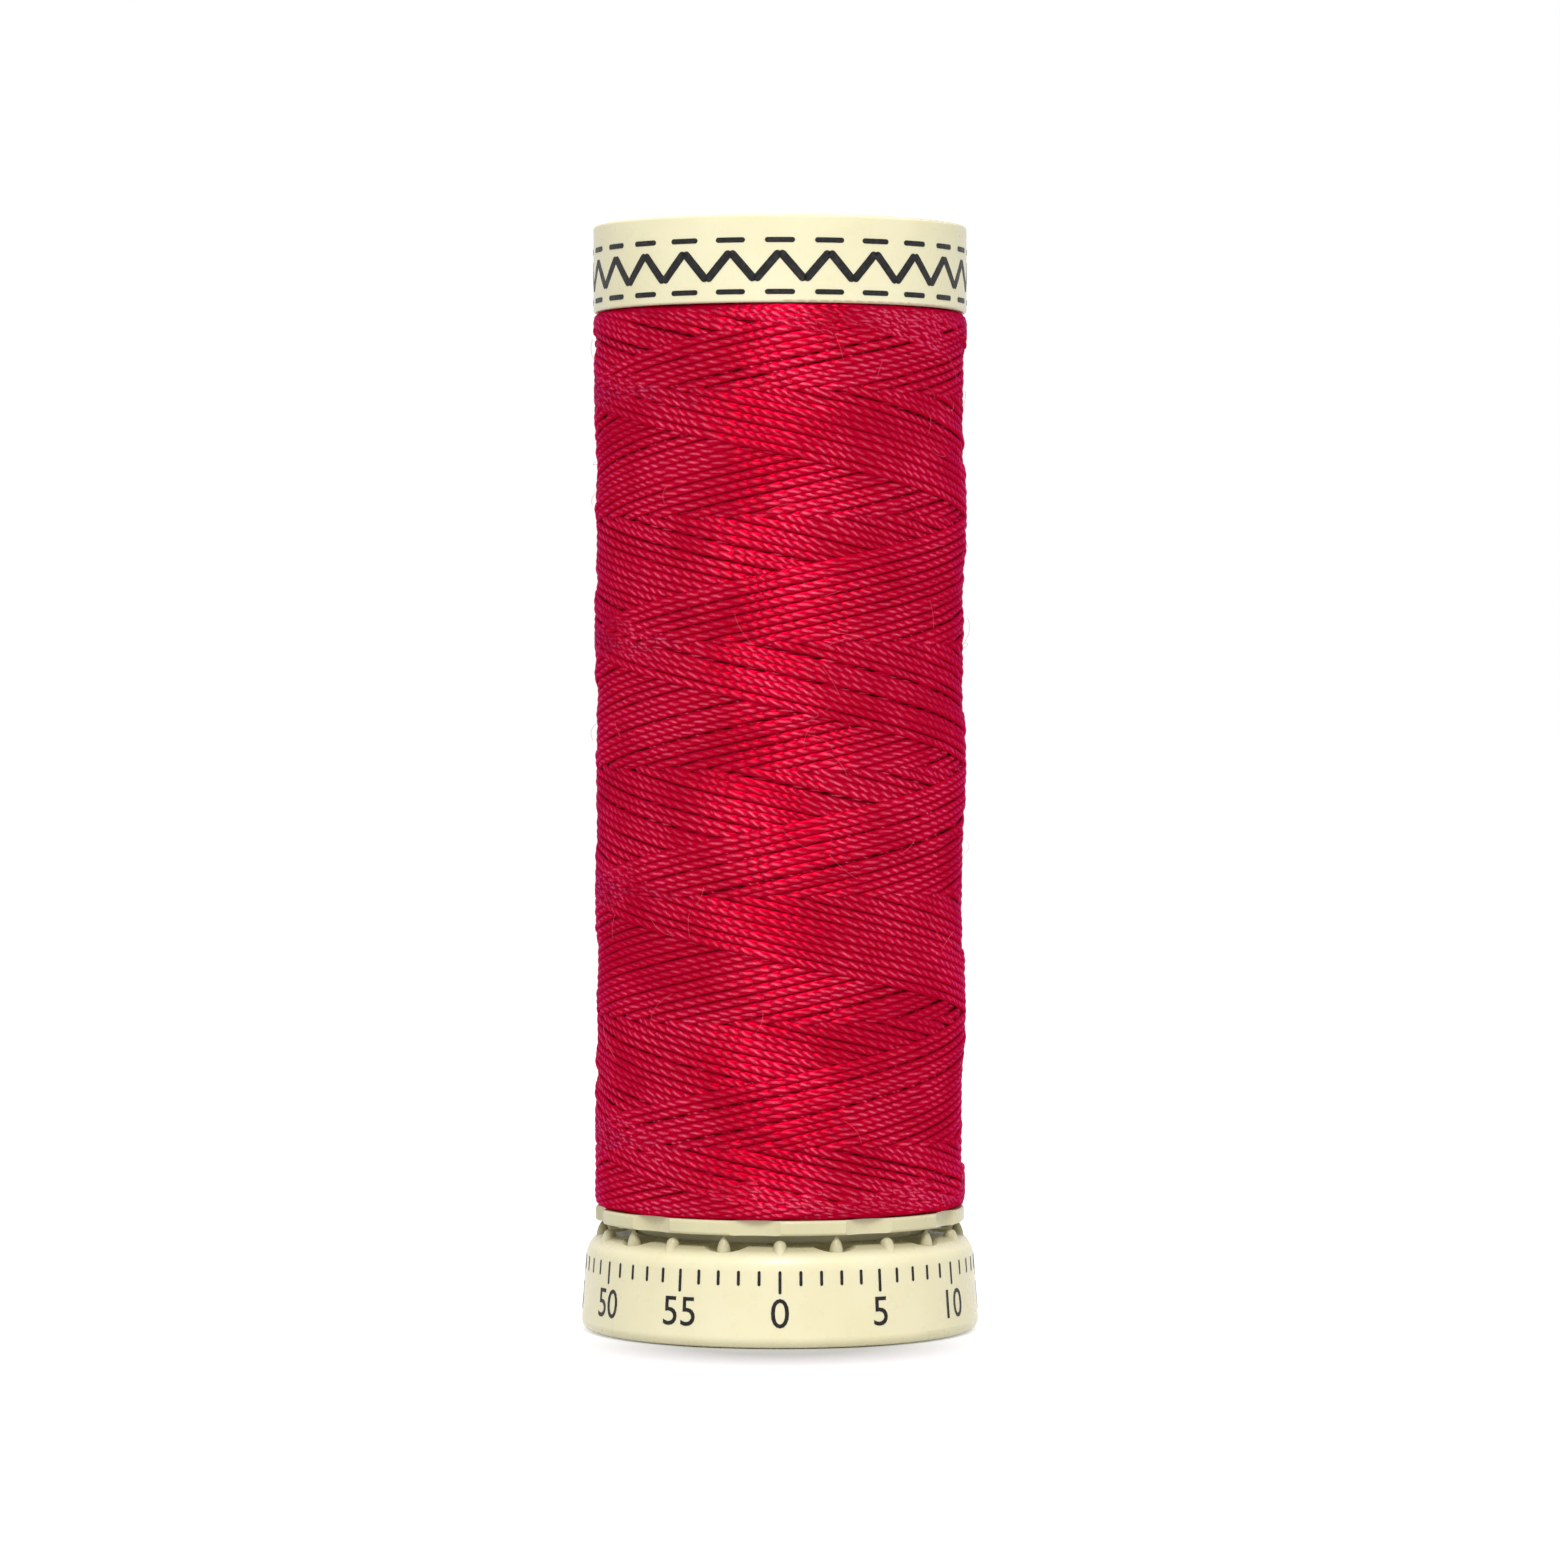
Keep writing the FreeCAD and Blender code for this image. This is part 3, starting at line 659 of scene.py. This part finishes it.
def fluff(name):
    """Thread material for single fibres, between red and pink."""
    nodes = Nodes(name)
    place = nodes.add("ShaderNodeTexCoord").outputs["Object"]
    nodes.set(Base_Color=nodes.blend(nodes.noise(place, FLUFF_TONE_SCALE), THREAD_RED, THREAD_PINK))
    nodes.set(Roughness=nodes.spread(nodes.noise(place, FLUFF_GRAIN_SCALE), *FLUFF_ROUGHNESS))
    return nodes.material


def make_fuzz(material):
    vertices = []
    faces = []
    share = np.linspace(0, 1, FUZZ_RINGS)
    for _ in range(FUZZ_FIBRES):
        length = RANDOM.uniform(SHORTEST_FUZZ, LONGEST_FUZZ) * MM
        heading = RANDOM.uniform(0, TURN)
        bend = RANDOM.uniform(-MOST_BEND, MOST_BEND)
        lift = RANDOM.uniform(LEAST_LIFT, MOST_LIFT) * MM
        height = RANDOM.uniform(PACK_BOTTOM + FUZZ_END_MARGIN, PACK_TOP - FUZZ_END_MARGIN)
        start = RANDOM.uniform(0, TURN)
        course = heading + bend * share
        ahead = np.cumsum(np.cos(course)) * length / FUZZ_RINGS
        upward = np.cumsum(np.sin(course)) * length / FUZZ_RINGS
        radius = PACK_RADIUS + lift * np.sin(LIFT_SWEEP * share)
        points = on_spool(radius, start + ahead / PACK_RADIUS, height + upward)
        first = len(vertices) * FUZZ_RINGS * FUZZ_SIDES
        vertices.append(tube_points(points, points * (1, 1, 0), FUZZ_SIDES, FUZZ_RADIUS, FUZZ_RADIUS))
        faces += [face + first for face in tube_faces(FUZZ_RINGS, FUZZ_SIDES)]
    mesh = new_mesh("fuzz", np.concatenate(vertices), faces)
    mesh.materials.append(material)
    fuzz = new_object("fuzz", mesh)
    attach(fuzz, "spool")


# Printed marks: thin closed skins that lie on the plastic

PRINT_PROUD = 0.015 * MM
PRINT_SUNK = 0.03 * MM
END_STEPS = 4  # along a stroke's round end
END_START = 0.12  # angle at which the round end starts, so that it isn't a point
STROKE_STEP = 0.25 * MM

ZIGZAG_LEGS = 48
ZIGZAG_HEIGHT = 1.45 * MM
ZIGZAG_FILL = 0.8  # how much of its way a leg's stitch covers
ZIGZAG_STROKE = 0.42 * MM
RUNNING_STITCHES = 24
RUNNING_FILL = 0.5
RUNNING_STROKE = 0.26 * MM
RUNNING_AWAY = 1.3 * MM  # from the middle of the zigzag
ORNAMENT_BELOW_TOP = 2.6 * MM

DIAL_TICKS = 60
TICKS_A_NUMBER = 5
TICK_TOP = 3.85 * MM
TICK_LENGTH = 0.6 * MM
LONG_TICK_LENGTH = 1.0 * MM
TICK_STROKE = 0.16 * MM
NUMBER_MIDDLE = 1.72 * MM
NUMBER_SIZE = 2.1 * MM
NUMBER_SLICE = 0.25 * MM
NUMBER_FINENESS = 4
SAME_POINT = 0.001 * MM
SAME_CUT = 0.0001 * MM


def surface_of(node):
    """Function that gives a node's outside radius at an angle and a height."""
    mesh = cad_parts[node].data
    tree = BVHTree.FromPolygons([v.co for v in mesh.vertices], [p.vertices for p in mesh.polygons])

    def radius_at(angle, height):
        start = Vector(on_spool(2 * FOOT_RADIUS, angle, height))
        place = tree.ray_cast(start, Vector(on_spool(-1.0, angle, 0.0)))[0]
        return math.hypot(place.x, place.y)

    return radius_at


def stroke_outline(start, end, thickness):
    """Left and right edge of a straight stroke with round ends, as points (round the spool, up)."""
    start, end = np.array(start), np.array(end)
    way = end - start
    length = np.linalg.norm(way)
    way /= length
    half = thickness / 2
    swing = np.linspace(END_START, math.pi / 2, END_STEPS)
    steps = max(int(length / STROKE_STEP), 1)
    run = np.concatenate([
        half * (1 - np.cos(swing)) - half,
        np.linspace(0, length, steps + 1)[1:-1],
        length + half - half * (1 - np.cos(swing[::-1])),
    ])
    width = half * np.concatenate([np.sin(swing), np.ones(steps - 1), np.sin(swing[::-1])])
    middle = start + run[:, None] * way
    side = np.array([-way[1], way[0]]) * width[:, None]
    return middle + side, middle - side


def print_strokes(name, strokes, radius_at, radius, material, body):
    """Skins of strokes (start, end, thickness). Their places are (round the spool at the radius, up)."""
    vertices = []
    faces = []
    for start, end, thickness in strokes:
        left, right = stroke_outline(start, end, thickness)
        first = len(vertices)
        for (left_s, left_z), (right_s, right_z) in zip(left, right):
            left_angle = left_s / radius
            right_angle = right_s / radius
            outside_left = radius_at(left_angle, left_z)
            outside_right = radius_at(right_angle, right_z)
            vertices += [
                on_spool(outside_left + PRINT_PROUD, left_angle, left_z),
                on_spool(outside_right + PRINT_PROUD, right_angle, right_z),
                on_spool(outside_right - PRINT_SUNK, right_angle, right_z),
                on_spool(outside_left - PRINT_SUNK, left_angle, left_z),
            ]
        faces += [face[::-1] + first for face in tube_faces(len(left), 4)]
    mesh = new_mesh(name, vertices, faces, smooth=False)
    mesh.materials.append(material)
    marks = new_object(name, mesh)
    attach(marks, body)


def make_ornament(material):
    """Round the head: a zigzag seam between two rows of running stitches."""
    middle = HEAD_TOP - ORNAMENT_BELOW_TOP
    leg = TURN * HEAD_RADIUS / ZIGZAG_LEGS
    strokes = []
    for number in range(ZIGZAG_LEGS):
        rise = ZIGZAG_HEIGHT * ZIGZAG_FILL / 2 * (1 if number % 2 else -1)
        place = (number + 0.5) * leg
        reach = leg * ZIGZAG_FILL / 2
        strokes.append(((place - reach, middle - rise), (place + reach, middle + rise), ZIGZAG_STROKE))
    step = TURN * HEAD_RADIUS / RUNNING_STITCHES
    for number in range(RUNNING_STITCHES):
        place = number * step
        reach = step * RUNNING_FILL / 2
        for height in (middle - RUNNING_AWAY, middle + RUNNING_AWAY):
            strokes.append(((place - reach, height), (place + reach, height), RUNNING_STROKE))
    print_strokes("head_ornament", strokes, surface_of("head_cap"), HEAD_RADIUS, material, "spool")


def make_dial(material):
    """Round the foot: plain ticks and plain numbers."""
    radius_at = surface_of("foot")
    step = TURN * FOOT_RADIUS / DIAL_TICKS
    strokes = []
    for number in range(DIAL_TICKS):
        length = TICK_LENGTH if number % TICKS_A_NUMBER else LONG_TICK_LENGTH
        strokes.append(((number * step, TICK_TOP - length), (number * step, TICK_TOP), TICK_STROKE))
    print_strokes("foot_ticks", strokes, radius_at, FOOT_RADIUS, material, "foot")
    made = bmesh.new()
    for number in range(0, DIAL_TICKS, TICKS_A_NUMBER):
        part = number_mesh(str(number))
        for vertex in part.vertices:
            angle = (number * step + vertex.co.x) / FOOT_RADIUS
            height = NUMBER_MIDDLE + vertex.co.y
            outside = radius_at(angle, height)
            lift = PRINT_PROUD if vertex.co.z > 0 else -PRINT_SUNK
            vertex.co = on_spool(outside + lift, angle, height)
        made.from_mesh(part)
        bpy.data.meshes.remove(part)
    mesh = bpy.data.meshes.new("foot_numbers")
    made.to_mesh(mesh)
    made.free()
    mesh.materials.append(material)
    marks = new_object("foot_numbers", mesh)
    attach(marks, "foot")


def number_mesh(text):
    """Closed flat number, cut into upright slices so that it can bend round the foot."""
    curve = bpy.data.curves.new("number", "FONT")
    curve.body = text
    curve.size = NUMBER_SIZE
    curve.align_x = "CENTER"
    curve.align_y = "CENTER"
    curve.extrude = PRINT_SUNK / 2
    curve.resolution_u = NUMBER_FINENESS
    source = bpy.data.objects.new("number", curve)
    mesh = bpy.data.meshes.new_from_object(source)
    shape = bmesh.new()
    shape.from_mesh(mesh)
    bmesh.ops.remove_doubles(shape, verts=shape.verts, dist=SAME_POINT)
    low = min(vertex.co.x for vertex in shape.verts)
    high = max(vertex.co.x for vertex in shape.verts)
    for cut in np.arange(low, high, NUMBER_SLICE)[1:]:
        parts = shape.verts[:] + shape.edges[:] + shape.faces[:]
        bmesh.ops.bisect_plane(shape, geom=parts, dist=SAME_CUT, plane_co=(cut, 0, 0), plane_no=(1, 0, 0))
    shape.to_mesh(mesh)
    shape.free()
    bpy.data.objects.remove(source)
    bpy.data.curves.remove(curve)
    return mesh


# Stage and light. Seen directly or mirrored, the floor glows up to white, but not close to the spool, which
# paints a contact shadow there.

FLOOR_REACH = 3.0
FLOOR_SEEN = 0.5
FLOOR_PALE = 0.68
FLOOR_GLOW = 0.8
NEAR_GLOW = 0.0
GLOW_AHEAD = 8 * MM  # the painted contact shadow lies to the front
GLOW_START = 4.5 * MM
GLOW_RISE = 9 * MM

AMBIENT = 0.47  # strength of the surroundings, which are plain white where they are seen or mirrored
KEY_POWER = 2.68
KEY_PLACE = (0.01, -0.382, 0.484)
KEY_SIZE = 0.2
TOP_POWER = 0.5
TOP_PLACE = (0, 0.02, 0.6)
TOP_SIZE = 0.14


def seen_rays(tree):
    """Output that is 1 for rays from the camera and for mirrored and transmitted rays."""
    path = tree.nodes.new("ShaderNodeLightPath")
    seen = path.outputs["Is Camera Ray"]
    for ray in ("Is Glossy Ray", "Is Transmission Ray"):
        either = tree.nodes.new("ShaderNodeMath")
        either.operation = "MAXIMUM"
        tree.links.new(seen, either.inputs[0])
        tree.links.new(path.outputs[ray], either.inputs[1])
        seen = either.outputs[0]
    return seen


def make_floor():
    mesh = bpy.data.meshes.new("floor")
    reach = FLOOR_REACH
    corners = [(-reach, -reach, 0), (reach, -reach, 0), (reach, reach, 0), (-reach, reach, 0)]
    mesh.from_pydata(corners, [], [(0, 1, 2, 3)])
    floor = new_object("floor", mesh)
    nodes = Nodes("floor")
    seen = seen_rays(nodes.tree)
    pale = (FLOOR_PALE, FLOOR_PALE, FLOOR_PALE, 1)
    nodes.set(Base_Color=nodes.blend(seen, pale, (FLOOR_SEEN, FLOOR_SEEN, FLOOR_SEEN, 1)))
    nodes.set(Roughness=0.9, Specular_IOR_Level=0.0)
    ahead = nodes.add("ShaderNodeVectorMath", operation="ADD")
    nodes.link(nodes.add("ShaderNodeTexCoord").outputs["Object"], ahead.inputs[0])
    ahead.inputs[1].default_value = (0, GLOW_AHEAD, 0)
    away = nodes.add("ShaderNodeVectorMath", operation="LENGTH")
    nodes.link(ahead.outputs[0], away.inputs[0])
    # less glow near the spool: a contact shadow painted in front of it, over the floor's real shadow
    rise = nodes.span(away.outputs["Value"], GLOW_START, GLOW_START + GLOW_RISE, NEAR_GLOW, FLOOR_GLOW)
    glow = nodes.add("ShaderNodeEmission")
    glow.inputs["Color"].default_value = (1, 1, 1, 1)
    nodes.link(nodes.math("MULTIPLY", seen, rise), glow.inputs["Strength"])
    both = nodes.add("ShaderNodeAddShader")
    nodes.link(nodes.shader.outputs[0], both.inputs[0])
    nodes.link(glow.outputs[0], both.inputs[1])
    nodes.link(both.outputs[0], nodes.tree.nodes["Material Output"].inputs["Surface"])
    mesh.materials.append(nodes.material)


def make_world():
    world = bpy.data.worlds.new("world")
    bpy.context.scene.world = world
    world.use_nodes = True
    tree = world.node_tree
    background = tree.nodes["Background"]
    strength = tree.nodes.new("ShaderNodeMapRange")
    strength.inputs["To Min"].default_value = AMBIENT
    strength.inputs["To Max"].default_value = 1.0
    tree.links.new(seen_rays(tree), strength.inputs["Value"])
    background.inputs["Color"].default_value = (1, 1, 1, 1)
    tree.links.new(strength.outputs["Result"], background.inputs["Strength"])


def make_softbox(name, place, aim, size, power):
    light = bpy.data.lights.new(name, "AREA")
    light.shape = "SQUARE"
    light.size = size
    light.energy = power
    obj = new_object(name, light)
    obj.location = place
    obj.rotation_euler = (Vector(aim) - Vector(place)).to_track_quat("-Z", "Y").to_euler()


def light_scene():
    middle = (0, 0, (cad_low.z + cad_high.z) / 2)
    make_world()
    make_softbox("key_light", KEY_PLACE, middle, KEY_SIZE, KEY_POWER)
    make_softbox("top_light", TOP_PLACE, middle, TOP_SIZE, TOP_POWER)


make_camera()
make_floor()
light_scene()

cream = plastic("cream_plastic", CREAM, CREAM_DEEP)
dress("head_cap", cream)
# the foot's plastic carries painted shade under the flange
dress("foot", plastic("foot_plastic", CREAM, CREAM_DEEP, paint_flange_shade=True))
dress("barrel", plastic("barrel_plastic", FLANGE_CREAM, FLANGE_CREAM_DEEP))
dress("head_label", paper("label_paper"))
make_winding(yarn("thread_yarn"))
make_fuzz(fluff("thread_fluff"))
print_ink = ink("print_ink")
make_ornament(print_ink)
make_dial(print_ink)

bpy.context.scene.view_settings.view_transform = "Standard"
